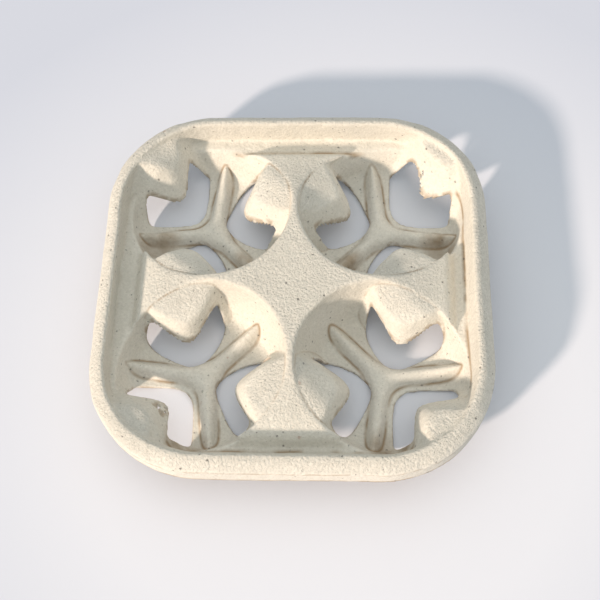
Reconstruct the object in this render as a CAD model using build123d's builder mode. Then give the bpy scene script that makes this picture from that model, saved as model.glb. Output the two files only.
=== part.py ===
"""Four-cup carrier tray, moulded in one piece from paper pulp.

The tray is a thin shell.  Its upper face is the top of a relief: a rimmed block with a trough cut
inside the rim, a hipped deck standing in the middle and four round wells sunk through both, with
two fingers and the floor ribs left standing in each well and a third finger reaching in from the
rim's corner.  Its lower face is the same relief with
every hill drawn in and every hollow let out by the wall thickness, so one function makes both.
The twelve openings round the finger tips are cut through what is left between the two.

Units are millimetres.  +Z is up, the origin is on the floor below the middle of the tray.
The well towards +X +Y is described about its own centre, and repeated by quarter turns.
"""
import math
import os

from build123d import *

# ---- driving dimensions --------------------------------------------------------------------
wall = 2.2                  # pulp thickness

# rim
tray_half = 108.0           # half of the overall width, to the edge of the lip
tray_height = 43.0          # floor to the top of the rim
corner_radius = 61.0        # plan radius of the lip's corners
lip_drop = 6.4              # how far the lip falls outside the rim, at 45 degrees
rim_width = 4.0             # top of the rim, before its edges are rounded
rim_round = 1.5
rim_draft = 6.0             # lean of the rim's inner wall, degrees

# deck: a flat middle and four bridges that fall towards the trough inside the rim
deck_drop = 1.0             # the deck's middle lies this far below the top of the rim
bridge_fall = 12.0          # from the deck's middle to the outer end of a bridge
bridge_end_run = 4.7        # plan length of the steep wall at a bridge's outer end
trough_width = 5.4
trough_level = 22.0         # floor of the trough

# wells
well_offset = 47.4          # well centre from the middle of the tray, in x and in y
well_radius = 45.5          # at the deck
well_taper = 1.5            # by how much the well is narrower at the trough's level
outer_shift = 3.5           # below the trough the well is let out towards the corner, in x and y
well_draft = 15.0           # lean of the wall below the trough's level, degrees
well_round = 8.0            # between the well's wall and its floor

# floor ribs, three to a well: one to the middle of the tray, two to its outer sides
rib_height = 6.5
rib_width = 9.5
rib_draft = 24.0
rib_swing = 7.0             # the two outer ribs turn away from the corner by this, degrees

# fingers: wedges in plan, placed from the well's centre
outline_level = 14.0        # where a finger's curled edges end
finger_draft = 22.0         # lean of the curled edges, degrees
tip_round = 6.0
tip_setback = 3.0           # from the tip of the outline back to the top's edge
side_tip = (-15.0, 8.5)
side_edges = (119.7, 211.5)     # bearings of the two edges, from the tip back to the root
side_fall = 165.5           # the top rises from the tip along this bearing
side_slope = 27.0
side_tip_level = 25.5
hinge_step = 0.8            # a side finger's root lies this far below the bridge that carries it
corner_tip = (17.1, 17.1)
corner_edges = (-1.2, 91.2)
corner_fall = 45.0
corner_slope = 38.0
corner_tip_level = 28.5
corner_root_drop = 2.5      # a corner finger's root lies this far below the top of the rim

# openings, placed from the well's centre: each is a window, with its wide bends and its ends
# rounded, less its finger's outline
bend_round = 8.0
end_round = 1.6
side_window = [
    (-25.4, 36.6), (-41.4, -4.4), (-31.4, -10.4), (-12.9, -3.9), (-4.4, 6.6), (-16.4, 33.1), (-21.4, 36.6),
]
side_bends = [(-12.9, -3.9), (-4.4, 6.6)]
side_ends = [(-25.4, 36.6), (-21.4, 36.6), (-27.7, 30.7), (-38.7, -6.0)]
corner_window = [
    (44.6, 20.6), (44.6, 12.6), (36.6, 5.6), (6.1, 6.1), (5.6, 36.6), (12.6, 44.6), (20.6, 44.6),
]
corner_bends = [(36.6, 5.6), (6.1, 6.1), (5.6, 36.6)]
corner_ends = [(44.6, 12.6), (44.6, 16.5), (12.6, 44.6), (16.5, 44.6)]

# ---- values that follow --------------------------------------------------------------------
corner_center = tray_half - corner_radius
lip_level = tray_height - lip_drop
rim_outer = tray_half - lip_drop
rim_inner = rim_outer - rim_width
rim_lean = math.tan(math.radians(rim_draft))
bridge_foot = rim_inner - (tray_height - trough_level) * rim_lean - trough_width
bridge_reach = bridge_foot - bridge_end_run
deck_level = tray_height - deck_drop
bridge_end_level = deck_level - bridge_fall
bridge_slope = math.degrees(math.atan2(bridge_fall, bridge_reach - well_offset))
bridge_end_slope = math.degrees(math.atan2(bridge_end_level - trough_level, bridge_end_run))
well_waist = well_radius - well_taper
well_center = (well_offset, well_offset)
well_diagonal = Plane((0, 0, 0), z_dir=(1, -1, 0))
above = tray_height + 3.0   # hollows are cut from here
below = -6.0                # the relief goes down to here before the two are cut


def polar(radius, degrees):
    """Point at a distance and direction from the middle of a well's own plan."""
    return (radius * math.cos(math.radians(degrees)), radius * math.sin(math.radians(degrees)))


def half_turn_shift(inset, slope):
    """How far an edge between a flat and a slope moves sideways when both go in by inset."""
    return inset * math.tan(math.radians(slope / 2))


def rounded_stack(levels):
    """Solid through rounded squares, each given as (height, half width)."""
    with BuildPart() as stack:
        for height, half in levels:
            with BuildSketch(Plane.XY.offset(height)):
                RectangleRounded(2 * half, 2 * half, half - corner_center)
        loft(ruled=True)
    return stack.part


def hipped_deck(inset):
    """Solid under the deck: flat middle, four falling bridges and their outer walls.

    The deck ends inside the wells, so nothing of it stands in the tray's corners.
    """
    gentle = math.radians(bridge_slope)
    steep = math.radians(bridge_end_slope)
    turn = math.sin(steep - gentle)
    end_in = inset * (math.cos(gentle) - math.cos(steep)) / turn
    end_down = inset * (math.sin(steep) - math.sin(gentle)) / turn
    foot_half = bridge_foot - half_turn_shift(inset, bridge_end_slope)
    levels = [
        (trough_level - inset - 2, foot_half),
        (trough_level - inset, foot_half),
        (bridge_end_level - end_down, bridge_reach - end_in),
        (deck_level - inset, well_offset - half_turn_shift(inset, bridge_slope)),
    ]
    with BuildPart() as deck:
        for height, half in levels:
            with BuildSketch(Plane.XY.offset(height)):
                Rectangle(2 * half, 2 * half)
        loft(ruled=True)
        with GridLocations(4 * well_offset, 4 * well_offset, 2, 2):
            Box(2 * well_offset, 2 * well_offset, 4 * tray_height, mode=Mode.SUBTRACT)
    return deck.part


def fall_plane(point, level, bearing, slope):
    """Plane through a point at a level that falls against the bearing, towards the well."""
    down_x, down_y = polar(-1.0, bearing)
    tilt = math.radians(slope)
    normal = (down_x * math.sin(tilt), down_y * math.sin(tilt), math.cos(tilt))
    return Plane(origin=(*point, level), z_dir=normal)


def finger(tip, edges, tops, inset):
    """Solid under one finger: a wedge with leaning sides, cut off above each of the top planes."""
    draft = math.radians(finger_draft)
    sides = []
    for bearing, outward in zip(edges, (edges[0] - 90.0, edges[1] + 90.0)):
        out_x, out_y = polar(math.cos(draft), outward)
        sides.append(Plane(origin=(*tip, outline_level), z_dir=(out_x, out_y, math.sin(draft))))
    with BuildPart() as solid:
        with BuildSketch(Plane.XY.offset(below)):
            Rectangle(4 * tray_half, 4 * tray_half)
        extrude(amount=above - below)
        for side in sides:
            split(bisect_by=side.offset(-inset), keep=Keep.BOTTOM)
        tip_edge = solid.edges().sort_by_distance((*tip, outline_level))[0]
        fillet(tip_edge, tip_round - inset)
        for top in tops:
            split(bisect_by=top.offset(-inset), keep=Keep.BOTTOM)
    return solid.part


def top_edge(tip, bearing):
    """Point of a finger's top straight behind its tip."""
    back_x, back_y = polar(tip_setback, bearing)
    return (tip[0] + back_x, tip[1] + back_y)


def side_finger(inset):
    """Finger on the +Y bridge, on the side towards +X."""
    root = fall_plane((0.0, 0.0), deck_level - hinge_step, -90.0, bridge_slope)
    top = fall_plane(top_edge(side_tip, side_fall), side_tip_level, side_fall, side_slope)
    return finger(side_tip, side_edges, (root, top), inset)


def corner_finger(inset):
    """Finger in the tray's corner."""
    root = Plane.XY.offset(tray_height - corner_root_drop)
    top = fall_plane(top_edge(corner_tip, corner_fall), corner_tip_level, corner_fall, corner_slope)
    return finger(corner_tip, corner_edges, (root, top), inset)


def ribs(inset):
    """Solid under one well's three floor ribs, about the well's own centre."""
    length = 2 * well_waist
    with BuildPart() as star:
        for bearing in (225.0, -rib_swing, 90.0 + rib_swing):
            middle = polar(length / 2, bearing)
            with BuildSketch(Plane.XY.offset(below)) as bar:
                with Locations(middle):
                    Rectangle(length + rib_width, rib_width, rotation=bearing)
                foot_out = (wall - below) * math.tan(math.radians(rib_draft))
                offset(amount=foot_out - inset, kind=Kind.INTERSECTION, mode=Mode.REPLACE)
            extrude(amount=wall + rib_height - inset - below, taper=rib_draft)
    return star.part


def bowl(inset, top):
    """Round hollow of a well, from its rounded floor up to a level."""
    floor = wall - inset
    waist = well_waist + inset
    rim = well_radius + inset
    foot = waist - (trough_level - floor) * math.tan(math.radians(well_draft))
    with BuildPart() as hollow:
        with BuildSketch(Plane.XZ) as section:
            with BuildLine():
                Polyline((0, floor), (foot, floor), (waist, trough_level), (rim, deck_level),
                         (rim, above), (0, above), close=True)
            make_face()
            corner = section.vertices().sort_by_distance((foot, 0, floor))[0]
            fillet(corner, well_round + inset)
        revolve(axis=Axis.Z)
        split(bisect_by=Plane.XY.offset(top), keep=Keep.BOTTOM)
    return hollow.part


def well_hollow(inset):
    """Everything that is open in one well, with its side fingers and ribs left standing."""
    side = side_finger(inset)
    outward = (outer_shift, outer_shift)
    with BuildPart() as hollow:
        add(bowl(inset, above))
        with Locations(outward):
            add(bowl(inset, trough_level))
        add(ribs(inset), mode=Mode.SUBTRACT)
        add(side, mode=Mode.SUBTRACT)
        add(side.mirror(well_diagonal), mode=Mode.SUBTRACT)
    return hollow.part


def relief(inset):
    """Solid whose top is the tray's upper face (inset 0) or its lower face (inset = wall)."""
    skirt = 5.0 if inset else 0.0
    lip_down = inset + half_turn_shift(inset, 45.0) + skirt
    block = rounded_stack([
        (below - inset, tray_half + skirt),
        (lip_level - lip_down, tray_half + skirt),
        (tray_height - inset, rim_outer - half_turn_shift(inset, 45.0)),
    ])
    with BuildPart() as spur:
        with Locations(well_center):
            add(corner_finger(inset))
        add(block, mode=Mode.INTERSECT)
    floor = trough_level - inset
    cavity = rounded_stack([
        (floor, rim_inner + inset - (tray_height - floor) * rim_lean),
        (above, rim_inner + inset + (above - tray_height) * rim_lean),
    ])
    with BuildPart() as body:
        add(block)
        add(cavity, mode=Mode.SUBTRACT)
        add(hipped_deck(inset))
        for turn in range(4):
            with Locations(Location((0, 0, 0), (0, 0, 90 * turn))):
                with Locations(well_center):
                    add(well_hollow(inset), mode=Mode.SUBTRACT)
                add(spur.part)
    return body.part


def slot(window, bends, ends, tip, edges):
    """Plan of one opening: a window with rounded bends, less the outline of the finger in it."""
    legs = [polar(2 * tray_half, bearing) for bearing in edges]
    with BuildSketch() as outline:
        with BuildLine():
            Polyline(tip, *[(tip[0] + x, tip[1] + y) for x, y in legs], close=True)
        make_face()
        fillet(outline.vertices().sort_by_distance(tip)[0], tip_round)
    with BuildSketch() as opening:
        with BuildLine():
            Polyline(*window, close=True)
        make_face()
        for bend in bends:
            fillet(opening.vertices().sort_by_distance(bend)[0], bend_round)
        add(outline.sketch, mode=Mode.SUBTRACT)
        for end in ends:
            fillet(opening.vertices().sort_by_distance(end)[0], end_round)
    return opening.sketch


def slot_cutters():
    """The three openings of one well, as solids that pass right through the tray."""
    side = slot(side_window, side_bends, side_ends, side_tip, side_edges)
    corner = slot(corner_window, corner_bends, corner_ends, corner_tip, corner_edges)
    with BuildPart() as cutters:
        with BuildSketch(Plane.XY.offset(below)):
            add(side)
            add(corner)
        extrude(amount=above - below)
        mirror(about=well_diagonal)
    return cutters.part


with BuildPart() as tray:
    add(relief(0.0))
    rim_edges = tray.faces().sort_by(Axis.Z)[-1].edges()
    fillet(rim_edges, rim_round)
    add(relief(wall), mode=Mode.SUBTRACT)
    cutters = slot_cutters()
    for turn in range(4):
        with Locations(Location((0, 0, 0), (0, 0, 90 * turn))):
            with Locations(well_center):
                add(cutters, mode=Mode.SUBTRACT)

tray.part.label = "carrier_tray"

os.makedirs("parts", exist_ok=True)
export_step(tray.part, "parts/carrier_tray.step")
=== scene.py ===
import math

import bpy
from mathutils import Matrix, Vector


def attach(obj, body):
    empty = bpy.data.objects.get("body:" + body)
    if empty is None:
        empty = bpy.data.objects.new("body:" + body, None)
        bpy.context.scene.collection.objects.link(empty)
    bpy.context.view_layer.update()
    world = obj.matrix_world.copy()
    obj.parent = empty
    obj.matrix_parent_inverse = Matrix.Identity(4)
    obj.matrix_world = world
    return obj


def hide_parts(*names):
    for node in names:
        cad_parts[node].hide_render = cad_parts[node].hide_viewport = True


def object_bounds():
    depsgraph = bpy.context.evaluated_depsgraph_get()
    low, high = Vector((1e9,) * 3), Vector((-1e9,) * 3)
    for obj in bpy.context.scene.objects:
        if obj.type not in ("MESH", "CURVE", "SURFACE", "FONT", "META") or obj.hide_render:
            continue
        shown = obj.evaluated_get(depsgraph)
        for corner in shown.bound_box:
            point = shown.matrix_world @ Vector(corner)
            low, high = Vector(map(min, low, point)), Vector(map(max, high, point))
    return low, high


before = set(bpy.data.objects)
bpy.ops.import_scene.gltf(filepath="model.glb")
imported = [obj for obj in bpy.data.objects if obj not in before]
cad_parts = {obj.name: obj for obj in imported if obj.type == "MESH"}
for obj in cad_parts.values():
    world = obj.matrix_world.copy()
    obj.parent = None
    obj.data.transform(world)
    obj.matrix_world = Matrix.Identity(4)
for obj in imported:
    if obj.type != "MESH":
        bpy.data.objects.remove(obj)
cad_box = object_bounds()

# ---- the tray ------------------------------------------------------------------------------
# One moulding of grey-white recycled paper pulp, about 2 mm thick, sucked onto a mould and dried.
# It is worked out as a solid in space, in millimetres: the relief that the mould presses, hollowed
# to a shell, with openings cut round the finger tips, and a little out of true as drying leaves it.
MM = 0.001
half_width_limit = cad_box[1].x / MM - 0.1
height_limit = cad_box[1].z / MM - 0.1
tray_sizes = {
    "Half width": half_width_limit - 0.1,
    "Rim level": 41.4,
    "Wall": 2.2,
    "Corner centre": 47.0,
    "Lip drop": 6.4,
    "Skirt level": 20.5,
    "Rim width": 2.8,
    "Trough level": 22.0,
    "Deck level": 41.8,
    "Bridge end": 85.3,
    "Bridge end level": 30.0,
    "Well offset": 47.4,
    "Well radius": 45.5,
    "Voxel": 1.0,
}
# slopes, in degrees from level
bridge_tilt = 17.57
bridge_end_tilt = 59.6
lip_tilt = 45.0
rim_wall_tilt = 86.0
rib_side_tilt = 24.0
# how far a surface leans out from upright, in degrees
well_draft = 4.3
well_foot_draft = 15.0
side_finger_draft = 22.0
corner_finger_draft = 33.0
pulp_light = (0.765, 0.738, 0.670)
pulp_dark = (0.590, 0.570, 0.510)
# a brown for painted shade in the creases and under the fingers, and for the pulp's real brown along
# torn edges
brown_and_painted_shade = (0.30, 0.205, 0.115)

tree = bpy.data.node_groups.new("pressed_pulp_tray", "GeometryNodeTree")
tree.interface.new_socket("Tray", in_out="OUTPUT", socket_type="NodeSocketGeometry")
size_sockets = {}
for label, amount in tray_sizes.items():
    size_sockets[label] = tree.interface.new_socket(label, in_out="INPUT", socket_type="NodeSocketFloat")
    size_sockets[label].default_value = amount
nodes = tree.nodes
links = tree.links
sizes_in = nodes.new("NodeGroupInput")


class Field:
    """A number that differs from place to place, worked out by the tree's nodes."""

    def __init__(self, socket):
        self.socket = socket

    def __add__(self, other):
        return calculate("ADD", self, other)

    def __sub__(self, other):
        return calculate("SUBTRACT", self, other)

    def __rsub__(self, other):
        return calculate("SUBTRACT", other, self)

    def __mul__(self, other):
        return calculate("MULTIPLY", self, other)

    def __neg__(self):
        return calculate("MULTIPLY", self, -1.0)


def calculate(operation, *values):
    """Result of one math node, with fields linked to it and plain numbers set on it."""
    node = nodes.new("ShaderNodeMath")
    node.operation = operation
    for socket, value in zip(node.inputs, values):
        if isinstance(value, Field):
            links.new(value.socket, socket)
        else:
            socket.default_value = value
    return Field(node.outputs[0])


def size(label):
    """One of the tray's named sizes."""
    return Field(sizes_in.outputs[label])


def least(first, second, blend=0.0):
    """Both solids together, with the valley between them filled to a soft curve."""
    return calculate("SMOOTH_MIN", first, second, blend)


def most(first, second, blend=0.0):
    """What two solids share, with the edge between them worn to a soft curve."""
    return calculate("SMOOTH_MAX", first, second, blend)


def length(first, second):
    return calculate("SQRT", first * first + second * second)


def within(value, low, high):
    return calculate("MINIMUM", calculate("MAXIMUM", value, low), high)


def slant(along, height, tilt, point_along, point_height):
    """Distance above a plane that falls by tilt degrees and passes through a point."""
    lean = math.radians(tilt)
    return (along - point_along) * math.sin(lean) + (height - point_height) * math.cos(lean)


def edge_of(across, up, start, bearing):
    """Distance to the left of a line that leaves a point on a bearing, in plan."""
    turn = math.radians(bearing)
    return (up - start[1]) * math.cos(turn) - (across - start[0]) * math.sin(turn)


def parts_of(vector):
    """The three numbers of a vector."""
    node = nodes.new("ShaderNodeSeparateXYZ")
    links.new(vector, node.inputs[0])
    return [Field(socket) for socket in node.outputs]


def combine(first, second, operation):
    """Result of one vector node; the second vector is linked or given as plain numbers."""
    node = nodes.new("ShaderNodeVectorMath")
    node.operation = operation
    links.new(first, node.inputs[0])
    if isinstance(second, tuple):
        node.inputs[1].default_value = second
    else:
        links.new(second, node.inputs[1])
    return node.outputs["Value"] if operation == "DISTANCE" else node.outputs[0]


def cloud(point, grain, detail, seed):
    """Three smooth random numbers about nought at each point, as a vector."""
    node = nodes.new("ShaderNodeTexNoise")
    node.noise_dimensions = "4D"
    links.new(point, node.inputs["Vector"])
    node.inputs["W"].default_value = seed
    node.inputs["Scale"].default_value = 1.0 / grain
    node.inputs["Detail"].default_value = detail
    return combine(node.outputs["Color"], (0.5, 0.5, 0.5), "SUBTRACT")


def nearness(point, centre, reach):
    """One at a centre, falling smoothly to nought at a distance."""
    fade = nodes.new("ShaderNodeMapRange")
    fade.interpolation_type = "SMOOTHERSTEP"
    links.new(combine(point, centre, "DISTANCE"), fade.inputs["Value"])
    fade.inputs["From Min"].default_value = reach
    fade.inputs["From Max"].default_value = 0.0
    return Field(fade.outputs[0])


def pushed(point, centre, reach, shift):
    """Points from which the shape is read, so that it is pushed by a shift round a centre."""
    back = nodes.new("ShaderNodeVectorMath")
    back.operation = "SCALE"
    back.inputs[0].default_value = [-part for part in shift]
    links.new(nearness(point, centre, reach).socket, back.inputs["Scale"])
    return combine(point, back.outputs[0], "ADD")


here = nodes.new("GeometryNodeInputPosition").outputs[0]
true_x, true_y, true_z = parts_of(here)
# broad warp and small ripples, by their grain and their most in each direction
drift = combine(cloud(here, 48.0, 1.0, 3.0), (1.5, 1.5, 0.8), "MULTIPLY")
ripple = combine(cloud(here, 11.0, 1.5, 8.0), (0.8, 0.8, 0.5), "MULTIPLY")
point = combine(combine(here, drift, "ADD"), ripple, "ADD")
# bent fingers: the back right corner's sideways, three others by a millimetre or two
bends = [((76.0, 68.0, 30.0), 26.0, (9.0, 2.0, 0.0)),
         ((62.0, -68.0, 32.0), 24.0, (-1.5, 1.0, 2.0)),
         ((-31.0, 57.0, 26.0), 20.0, (0.0, -1.5, 1.5)),
         ((57.0, 31.0, 26.0), 20.0, (1.0, 1.5, 1.0))]
for place_bent, spread, shift in bends:
    point = pushed(point, place_bent, spread, shift)
x, y, z = parts_of(point)
near_x = calculate("ABSOLUTE", x)
near_y = calculate("ABSOLUTE", y)
u = calculate("MINIMUM", near_x, near_y)
v = calculate("MAXIMUM", near_x, near_y)

# rim: how far out, on a square whose corners are rounded about one centre
centre = size("Corner centre")
out = length(calculate("MAXIMUM", u - centre, 0.0), calculate("MAXIMUM", v - centre, 0.0))
out = out + calculate("MINIMUM", v - centre, 0.0) + centre
rim_outer = size("Half width") - size("Lip drop")
lip = slant(out, z, lip_tilt, rim_outer, size("Rim level"))
rim_top = most(z - size("Rim level"), lip, 4.0)
rim_top = most(rim_top, out - size("Half width"), 1.5)


def towards(ahead, aside):
    """One along one side of the tray, fading to nought before its two corners."""
    fade = 0.05
    return within(ahead * fade - aside * fade, 0.0, 1.0)


# (the rim's inner wall leans more at the front and at the right than on the other two sides)
front = towards(-y, near_x)
right = towards(x, near_y)
back = towards(y, near_x)
front_lean = 6.0
right_lean = 3.4
depth = within((size("Rim level") - z) * 0.059, 0.0, 1.2)
rim_wall = -slant(out, z, rim_wall_tilt, rim_outer - size("Rim width"), size("Rim level"))
rim_wall = rim_wall - (front * front_lean + right * right_lean) * depth
rim = most(rim_top, rim_wall, 3.5)
trough = z - size("Trough level")
body = least(rim, trough, 2.0)

# deck: flat middle, bridges that fall outwards, steep ends
bridge = slant(v, z, bridge_tilt, size("Well offset"), size("Deck level"))
bridge_end = slant(v, z, bridge_end_tilt, size("Bridge end"), size("Bridge end level"))
deck = most(z - size("Deck level"), bridge, 2.5)
deck = most(deck, bridge_end, 3.5)
deck = most(deck, u - size("Well offset"))


def valley(first, second, width):
    """One in the valley where two solids meet, falling to nought at a distance from it."""
    return 1.0 - (calculate("ABSOLUTE", first) + calculate("ABSOLUTE", second)) * (1.0 / width)


# (painted brown shade lies in the creases beside the trough at the front and the right, and at the back
# by the deck)
crease_width = 5.0
rim_near = valley(rim, trough, crease_width) * (front + right * 0.6 + 0.12)
rim_near = rim_near + valley(deck, trough, crease_width) * back
rim_foot = (rim - trough) * (1.0 - back) + (deck - trough) * back
body = least(body, deck, 2.5)

# well: a round hollow with a rounded foot, let out below the trough towards the corner
# (the lower parts of the four wells lie a little further apart from side to side than they do
# from front to back)
well_shift = 2.0
low = within((36.0 - z) * 0.05, 0.0, 1.0)
well_x = near_x - low * well_shift
well_y = near_y + low * well_shift
u = calculate("MINIMUM", well_x, well_y)
v = calculate("MAXIMUM", well_x, well_y)
across = u - size("Well offset")
along = v - size("Well offset")
waist = size("Well radius") - 1.5
let_out = 3.5


def well_wall(distance, radius, level, draft):
    """Distance inside a round wall that widens upwards, negative in the hollow."""
    lean = math.radians(draft)
    return (distance - radius) * math.cos(lean) - (z - level) * math.sin(lean)


reach = length(across, along)
upper = most(well_wall(reach, size("Well radius"), size("Deck level"), well_draft),
             well_wall(reach, waist, size("Trough level"), well_foot_draft), 3.0)
lower = length(across - let_out, along - let_out)
lower = most(well_wall(lower, waist, size("Trough level"), well_foot_draft), trough - 4.0, 3.0)
hollow = most(least(upper, lower, 3.0), size("Wall") - z, 14.0)


def rib(bearing):
    """Distance from the middle line of a rib that leaves the well's centre on a bearing."""
    turn = math.radians(bearing)
    ahead = across * math.cos(turn) + along * math.sin(turn)
    aside = along * math.cos(turn) - across * math.sin(turn)
    return length(calculate("MINIMUM", ahead, 0.0), aside)


# ribs: a broad low Y on the well's floor, steep at its sides
star = least(least(rib(225.0), rib(97.0), 12.0), rib(-7.0), 12.0)
rib_half_width = 4.9
rib_level = 8.0
rib_lean = math.radians(rib_side_tilt)
ribs = (star - rib_half_width) * math.cos(rib_lean) + (z - 2.6) * math.sin(rib_lean)
rise = calculate("MAXIMUM", reach - 22.0, 0.0) * 0.22
ribs = most(ribs, slant(star, z - rise, 12.0, 0.0, rib_level), 4.0)


def finger(tip, bearings, fall, knee, sole, draft, twist, narrower):
    """A wedge with curled-down sides, cut off by a sloping top behind its tip; and its plan."""
    tip_blend = 14.0
    plan = most(-edge_of(u, v, tip, bearings[0]), edge_of(u, v, tip, bearings[1]), tip_blend) + narrower
    turn = math.radians(fall)
    back = (u - tip[0]) * math.cos(turn) + (v - tip[1]) * math.sin(turn)
    outline = within((back - 4.0) * 0.85, 0.0, 10.0) + 14.0
    lean = math.radians(draft)
    sides = plan * math.cos(lean) + (z - outline) * math.sin(lean)
    slope, level = knee
    top = slant(-back, z, slope, -3.0, level)
    return most(sides, most(top, sole, 4.0) + twist, 3.0), plan


bridge_top = slant(v, z, bridge_tilt, size("Well offset"), size("Deck level") - 0.9)
side_finger, side_plan = finger((32.4, 55.9), (119.7, 211.5), 165.5, (26.0, 25.5), bridge_top,
                                side_finger_draft, 0.0, 0.0)
corner_top = slant(-(u + v) * math.sqrt(0.5), z, 5.0, -109.6, 37.0)
# (the back left corner's finger is twisted, so that its top leans towards the back right)
twist = nearness(here, (-74.0, 70.0, 32.0), 36.0) * (x + y + 4.0) * 0.26
# (and the back right one has lost a strip along its left side)
strip = nearness(here, (60.0, 72.0, 26.0), 32.0) * 4.5
corner_finger, corner_plan = finger((64.5, 64.5), (-1.2, 91.2), 45.0, (36.0, 27.0), corner_top,
                                    corner_finger_draft, twist, strip)
spur = most(corner_finger, rim_top, 2.0)
relief = most(body, least(-hollow, least(side_finger, ribs, 1.0), 1.6), 2.6)
relief = least(relief, spur, 4.0)
# where painted crease shade goes along the ribs' feet and the fingers' hinges
rib_near = valley(ribs, hollow, 4.0)
hinge_crease = valley(side_finger, hollow, 1.4)

# shell: the relief less the same relief set in by the wall, with the lip's skirt cut off level
shell = most(relief, -relief - size("Wall"))
shell = most(shell, out - size("Half width"), 0.8)
shell = most(shell, least(out - size("Half width") + 4.2, size("Skirt level") - z))
widest = most(calculate("ABSOLUTE", true_x), calculate("ABSOLUTE", true_y))
shell = most(shell, widest - half_width_limit)


def window(corners, soft):
    """Plan inside a convex outline, given anticlockwise, with its bends rounded."""
    shape = None
    for start, end in zip(corners, corners[1:] + corners[:1]):
        bearing = math.degrees(math.atan2(end[1] - start[1], end[0] - start[0]))
        side = -edge_of(u, v, start, bearing)
        shape = side if shape is None else most(shape, side, soft)
    return shape


# openings: a window round each finger tip, less the finger's own plan, with a ragged edge that is
# roughest round the front corners' slots
side_window = window([(6, 43), (16, 37), (34.5, 43.5), (43, 54), (31, 80.5), (26, 84), (22, 84)], 9.0)
side_slot = most(side_window, -side_plan, 2.5)
corner_window = window([(50, 50), (88, 51.2), (88.5, 88.5), (51.2, 88)], 7.0)
elbow = most(53.3 - u, 53.3 - v, 24.0)
corner_slot = most(most(corner_window, elbow, 3.0), -corner_plan, 6.0)
frays = parts_of(cloud(here, 2.6, 2.0, 11.0))
rough = nearness(here, (-72.0, -58.0, 14.0), 30.0) + nearness(here, (72.0, -56.0, 14.0), 30.0)
slots = least(side_slot, corner_slot) + frays[0] * (rough * 1.6 + 0.45)
# the front left corner's finger has lost its tip
torn = nearness(here, (-57.5, -60.0, 26.0), 29.0) * 12.0 - 4.0 + frays[1] * 5.0
slots = least(slots, -torn)
shell = most(shell, -slots, 0.8)
shell = most(shell, most(-true_z, true_z - height_limit))

density = within(2.0 - shell, 0.0, 4.0)
block = nodes.new("GeometryNodeVolumeCube")
links.new(density.socket, block.inputs["Density"])
low_corner = (-110.0, -110.0, -2.0)
high_corner = (110.0, 110.0, 45.0)
block.inputs["Min"].default_value = low_corner
block.inputs["Max"].default_value = high_corner
for axis, start, end in zip("XYZ", low_corner, high_corner):
    count = calculate("DIVIDE", end - start, size("Voxel"))
    links.new(count.socket, block.inputs["Resolution " + axis])
skin = nodes.new("GeometryNodeVolumeToMesh")
links.new(block.outputs[0], skin.inputs["Volume"])
skin.inputs["Threshold"].default_value = 2.0
made = skin.outputs[0]

# crumbs that the fraying leaves loose are dropped
island = nodes.new("GeometryNodeInputMeshIsland").outputs["Island Index"]
crumb_size = nodes.new("GeometryNodeAccumulateField")
crumb_size.data_type = "INT"
crumb_size.inputs["Value"].default_value = 1
links.new(island, crumb_size.inputs["Group ID"])
crumbs = nodes.new("GeometryNodeDeleteGeometry")
links.new(made, crumbs.inputs["Geometry"])
least_corners = 5000.0
loose = calculate("LESS_THAN", Field(crumb_size.outputs["Total"]), least_corners)
links.new(loose.socket, crumbs.inputs["Selection"])
made = crumbs.outputs[0]

# where the pulp is pebbly, where painted shade goes in its creases and under its fingers, and where it
# is cut or torn
facing = parts_of(nodes.new("GeometryNodeInputNormal").outputs[0])[2]
high = within((z - 27.0) * 0.14, 0.0, 1.0)
coarse = within((facing - 0.45) * 2.6, 0.0, 1.0) * high
# (each foot is a number that passes through nought along the crease, which keeps its line of painted
# shade thin)
foot_range = 3.0
crease = within(hinge_crease, 0.0, 1.0)
rib_foot = within(ribs + hollow, -foot_range, foot_range)
rim_foot = within(rim_foot, -foot_range, foot_range)
rib_near = within(rib_near * 2.5, 0.0, 1.0)
rim_near = within(rim_near * 2.5, 0.0, 1.0)
# (painted shade under the fingers, and the pulp darker brown at the foot of the front wall)
finger_shade_and_brown_places = [((-80.0, 34.0, 12.0), 22.0, 1.0),
               ((82.0, 34.0, 12.0), 20.0, 1.0),
               ((-58.0, -90.0, 14.0), 24.0, 1.0),
               ((54.0, -90.0, 14.0), 26.0, 1.0),
               ((-30.0, 24.0, 12.0), 18.0, 0.8),
               ((30.0, 22.0, 12.0), 22.0, 1.0)]
finger_shade_and_brown = 0.0
for place_shaded, spread, share in finger_shade_and_brown_places:
    finger_shade_and_brown = calculate("MAXIMUM", finger_shade_and_brown, nearness(here, place_shaded, spread) * share)
cut = within(1.0 - calculate("ABSOLUTE", slots) * 0.8, 0.0, 1.0)
skirt_top = size("Rim level") - size("Lip drop") - 0.6
lip_edge = calculate("MINIMUM", calculate("ABSOLUTE", z - skirt_top),
                     calculate("ABSOLUTE", z - size("Skirt level")))
lip_edge = within(1.0 - lip_edge * 0.7, 0.0, 1.0) * within(out - size("Half width") + 4.0, 0.0, 1.0)
cut = calculate("MAXIMUM", cut, lip_edge)
marks = {"coarse": coarse, "crease": crease, "cut": cut, "finger_shade_and_brown": finger_shade_and_brown,
         "rib foot": rib_foot, "rim foot": rim_foot, "rib near": rib_near, "rim near": rim_near}
for name, field in marks.items():
    store = nodes.new("GeometryNodeStoreNamedAttribute")
    store.data_type = "FLOAT"
    store.domain = "POINT"
    store.inputs["Name"].default_value = name
    links.new(made, store.inputs["Geometry"])
    links.new(field.socket, store.inputs["Value"])
    made = store.outputs[0]

smooth = nodes.new("GeometryNodeSetShadeSmooth")
links.new(made, smooth.inputs[0])
metres = nodes.new("GeometryNodeTransform")
metres.inputs["Scale"].default_value = (MM, MM, MM)
links.new(smooth.outputs[0], metres.inputs[0])
apart = nodes.new("GeometryNodeRealizeInstances")
links.new(metres.outputs[0], apart.inputs[0])
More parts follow.
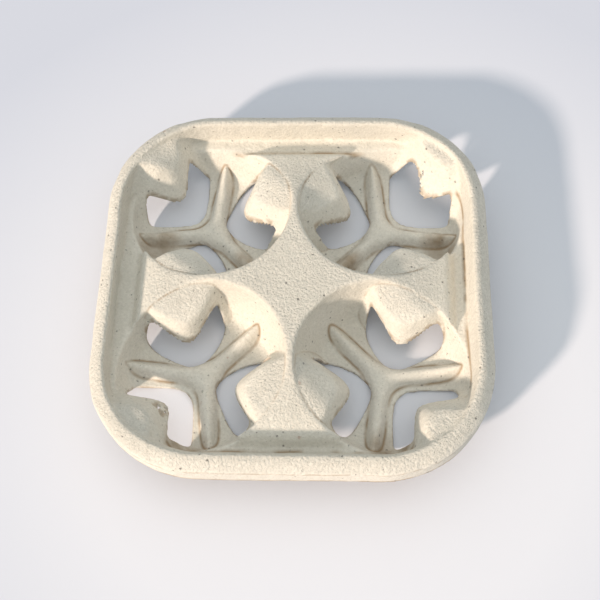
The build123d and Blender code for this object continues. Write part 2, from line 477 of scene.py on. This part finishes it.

# the pulp's look: mottled grey-white, pebbly where the wire mesh did not press it, with specks
# of old print and board, painted brown shade in the creases and under the fingers, darker brown at
# the foot of the front wall, and brown along torn edges
pulp = bpy.data.materials.new("pulp")
pulp.use_nodes = True
paint = pulp.node_tree
shader = paint.nodes["Principled BSDF"]
shader.inputs["Roughness"].default_value = 0.95
shader.inputs["Specular IOR Level"].default_value = 0.15
place = paint.nodes.new("ShaderNodeTexCoord").outputs["Object"]


def attribute(name):
    node = paint.nodes.new("ShaderNodeAttribute")
    node.attribute_name = name
    return node.outputs["Fac"]


def mottle(grain, detail, roughness=0.5):
    """Smooth noise whose spots are about this many millimetres across."""
    node = paint.nodes.new("ShaderNodeTexNoise")
    paint.links.new(place, node.inputs["Vector"])
    node.inputs["Scale"].default_value = 1.0 / (grain * MM)
    node.inputs["Detail"].default_value = detail
    node.inputs["Roughness"].default_value = roughness
    return node.outputs["Fac"]


def ramp(value, low, high, bottom=0.0, top=1.0):
    """A value spread from one range to another and held at its ends."""
    node = paint.nodes.new("ShaderNodeMapRange")
    paint.links.new(value, node.inputs["Value"])
    for label, amount in (("From Min", low), ("From Max", high), ("To Min", bottom), ("To Max", top)):
        node.inputs[label].default_value = amount
    return node.outputs[0]


def sums(operation, first, second):
    node = paint.nodes.new("ShaderNodeMath")
    node.operation = operation
    for socket, value in zip(node.inputs, (first, second)):
        if isinstance(value, (int, float)):
            socket.default_value = value
        else:
            paint.links.new(value, socket)
    return node.outputs[0]


def tinted(under, over, amount):
    """One colour laid over another by an amount."""
    node = paint.nodes.new("ShaderNodeMix")
    node.data_type = "RGBA"
    for socket, value in zip((node.inputs[6], node.inputs[7]), (under, over)):
        if isinstance(value, tuple):
            socket.default_value = (*value, 1.0)
        else:
            paint.links.new(value, socket)
    paint.links.new(amount, node.inputs[0])
    return node.outputs[2]


def specks(spacing, share, radius, seed):
    """Scattered dots: one in every so many cells of a jittered lattice, of ragged outline."""
    shift = paint.nodes.new("ShaderNodeVectorMath")
    shift.operation = "ADD"
    paint.links.new(place, shift.inputs[0])
    shift.inputs[1].default_value = (seed, 0.37 * seed, 0.71 * seed)
    cells = paint.nodes.new("ShaderNodeTexVoronoi")
    paint.links.new(shift.outputs[0], cells.inputs["Vector"])
    cells.inputs["Scale"].default_value = 1.0 / (spacing * MM)
    pick = paint.nodes.new("ShaderNodeSeparateColor")
    paint.links.new(cells.outputs["Color"], pick.inputs[0])
    chosen = sums("LESS_THAN", pick.outputs[0], share)
    ragged = sums("ADD", cells.outputs["Distance"], ramp(mottle(0.45, 1.0), 0.3, 0.7, -0.10, 0.10))
    spread = ramp(pick.outputs[1], 0.0, 1.0, 0.55 * radius / spacing, radius / spacing)
    dot = ramp(sums("SUBTRACT", spread, ragged), 0.0, 0.12)
    return sums("MULTIPLY", dot, chosen)


coarse_here = attribute("coarse")
crease_here = attribute("crease")
cut_here = attribute("cut")
broad = ramp(mottle(26.0, 2.0), 0.35, 0.68)
fine = ramp(mottle(1.6, 3.0, 0.7), 0.32, 0.68)
colour = tinted(pulp_light, pulp_dark, sums("MULTIPLY", broad, 0.26))
colour = tinted(colour, pulp_dark, sums("MULTIPLY", fine, 0.75))
# painted shade: brown lines at the feet of the ribs and the rim and in the fingers' hinge creases
rib_crease_shade = ramp(sums("ABSOLUTE", attribute("rib foot"), 0.0), 0.15, 1.5, 1.0, 0.0)
rib_crease_shade = sums("MULTIPLY", rib_crease_shade, attribute("rib near"))
rim_crease_shade = ramp(sums("ABSOLUTE", attribute("rim foot"), 0.0), 0.3, 2.2, 1.0, 0.0)
rim_crease_shade = sums("MULTIPLY", rim_crease_shade, attribute("rim near"))
crease_shade_lines = sums("MAXIMUM", sums("MAXIMUM", rib_crease_shade, rim_crease_shade), ramp(crease_here, 0.25, 0.9))
painted_crease_shade = sums("MULTIPLY", crease_shade_lines, ramp(mottle(14.0, 2.0), 0.36, 0.58, 0.15, 1.0))
colour = tinted(colour, brown_and_painted_shade, sums("MULTIPLY", painted_crease_shade, 0.80))
# painted shade under the fingers, and darker brown at the foot of the front wall
finger_shade_and_brown_amount = sums("MULTIPLY", ramp(attribute("finger_shade_and_brown"), 0.15, 0.8), ramp(mottle(9.0, 3.0), 0.30, 0.60, 0.35, 1.0))
colour = tinted(colour, brown_and_painted_shade, sums("MULTIPLY", finger_shade_and_brown_amount, 0.75))
ragged_edge = sums("MULTIPLY", ramp(cut_here, 0.3, 0.9), ramp(mottle(5.0, 3.0), 0.40, 0.56))
colour = tinted(colour, brown_and_painted_shade, sums("MULTIPLY", ragged_edge, 0.55))
old_ink = (0.10, 0.095, 0.09)
old_board = (0.30, 0.27, 0.22)
red_print = (0.33, 0.16, 0.10)
colour = tinted(colour, old_ink, sums("MULTIPLY", specks(3.4, 0.22, 0.9, 0.0), 0.75))
colour = tinted(colour, old_board, sums("MULTIPLY", specks(1.9, 0.40, 0.50, 1.3), 0.45))
colour = tinted(colour, red_print, sums("MULTIPLY", specks(7.0, 0.05, 1.2, 2.9), 0.55))
paint.links.new(colour, shader.inputs["Base Color"])

grain_height = 0.42
pebbles = ramp(mottle(1.5, 4.0, 0.68), 0.38, 0.62)
hairs = ramp(mottle(0.7, 2.0, 0.6), 0.25, 0.75)
dents = ramp(mottle(6.0, 2.0, 0.5), 0.3, 0.7)
grain = sums("MULTIPLY", pebbles, ramp(coarse_here, 0.0, 1.0, 0.20, 1.0))
grain = sums("ADD", grain, sums("MULTIPLY", hairs, 0.22))
grain = sums("ADD", grain, sums("MULTIPLY", dents, 0.8))
bump = paint.nodes.new("ShaderNodeBump")
bump.inputs["Strength"].default_value = 1.0
bump.inputs["Distance"].default_value = grain_height * MM
paint.links.new(grain, bump.inputs["Height"])
paint.links.new(bump.outputs[0], shader.inputs["Normal"])

finish = nodes.new("GeometryNodeSetMaterial")
finish.inputs["Material"].default_value = pulp
links.new(apart.outputs[0], finish.inputs[0])
result = nodes.new("NodeGroupOutput")
links.new(finish.outputs[0], result.inputs[0])

mould = bpy.data.objects.new("mould", bpy.data.meshes.new("mould"))
bpy.context.scene.collection.objects.link(mould)
press = mould.modifiers.new("press", "NODES")
press.node_group = tree
for label, amount in tray_sizes.items():
    press[size_sockets[label].identifier] = float(amount)
thin_out = mould.modifiers.new("thin out", "DECIMATE")
thin_out.ratio = 0.45
pressed = bpy.data.meshes.new_from_object(mould.evaluated_get(bpy.context.evaluated_depsgraph_get()))
bpy.data.objects.remove(mould)
tray = bpy.data.objects.new("pulp_tray", pressed)
bpy.context.scene.collection.objects.link(tray)
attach(tray, "root")
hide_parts("carrier_tray")

# ---- the floor -------------------------------------------------------------------------------
# A plain pale sheet of matt paper that the tray stands on, with no marks. It is a little darker
# away from the tray, as such a sheet looks where the lamp's light thins out.
floor_half = 3.0
floor_mesh = bpy.data.meshes.new("floor")
floor_corners = [(-floor_half, -floor_half, 0.0), (floor_half, -floor_half, 0.0),
                 (floor_half, floor_half, 0.0), (-floor_half, floor_half, 0.0)]
floor_mesh.from_pydata(floor_corners, [], [(0, 1, 2, 3)])
floor = bpy.data.objects.new("floor", floor_mesh)
bpy.context.scene.collection.objects.link(floor)
floor_paint = bpy.data.materials.new("floor")
floor_paint.use_nodes = True
floor_nodes = floor_paint.node_tree.nodes
floor_links = floor_paint.node_tree.links
floor_shader = floor_nodes["Principled BSDF"]
floor_place = floor_nodes.new("ShaderNodeTexCoord").outputs["Object"]
from_middle = floor_nodes.new("ShaderNodeVectorMath")
from_middle.operation = "DISTANCE"
floor_links.new(floor_place, from_middle.inputs[0])
from_middle.inputs[1].default_value = (0.02, -0.05, 0.0)
outwards = floor_nodes.new("ShaderNodeMapRange")
floor_links.new(from_middle.outputs["Value"], outwards.inputs["Value"])
outwards.inputs["From Min"].default_value = 0.14
outwards.inputs["From Max"].default_value = 0.30
floor_colour = floor_nodes.new("ShaderNodeMix")
floor_colour.data_type = "RGBA"
floor_links.new(outwards.outputs[0], floor_colour.inputs[0])
floor_colour.inputs[6].default_value = (0.695, 0.718, 0.790, 1.0)
floor_colour.inputs[7].default_value = (0.545, 0.582, 0.680, 1.0)
floor_links.new(floor_colour.outputs[2], floor_shader.inputs["Base Color"])
floor_shader.inputs["Roughness"].default_value = 1.0
floor_shader.inputs["Specular IOR Level"].default_value = 0.0
floor_mesh.materials.append(floor_paint)

# ---- camera and lights -----------------------------------------------------------------------
# A high view over the front edge, a warm lamp low at the front left, and cool light all round.
lens = bpy.data.cameras.new("camera")
lens.lens = 57.08
camera = bpy.data.objects.new("camera", lens)
bpy.context.scene.collection.objects.link(camera)
camera.location = (0.028342, -0.221504, 0.507761)
camera.rotation_euler = (0.419, 0.040, 0.025)
bpy.context.scene.camera = camera

room = bpy.data.worlds.new("studio")
bpy.context.scene.world = room
room.use_nodes = True
room_light = room.node_tree.nodes["Background"]
direction = room.node_tree.nodes.new("ShaderNodeTexCoord")
upward = room.node_tree.nodes.new("ShaderNodeSeparateXYZ")
room.node_tree.links.new(direction.outputs["Generated"], upward.inputs[0])
brightness = room.node_tree.nodes.new("ShaderNodeMapRange")
room.node_tree.links.new(upward.outputs["Z"], brightness.inputs["Value"])
brightness.inputs["To Min"].default_value = 0.22
brightness.inputs["To Max"].default_value = 1.12
room.node_tree.links.new(brightness.outputs[0], room_light.inputs["Strength"])
room_light.inputs["Color"].default_value = (0.945, 0.97, 0.945, 1.0)
bpy.context.scene.view_settings.view_transform = "Standard"

lamp = bpy.data.lights.new("key", "SUN")
lamp.color = (1.0, 0.82, 0.67)
lamp.energy = 3.85
lamp.angle = math.radians(4.5)
key = bpy.data.objects.new("key", lamp)
bpy.context.scene.collection.objects.link(key)
towards_lamp = Vector((-0.646, -0.646, 0.407))
key.location = towards_lamp
key.rotation_euler = towards_lamp.to_track_quat("Z", "Y").to_euler()
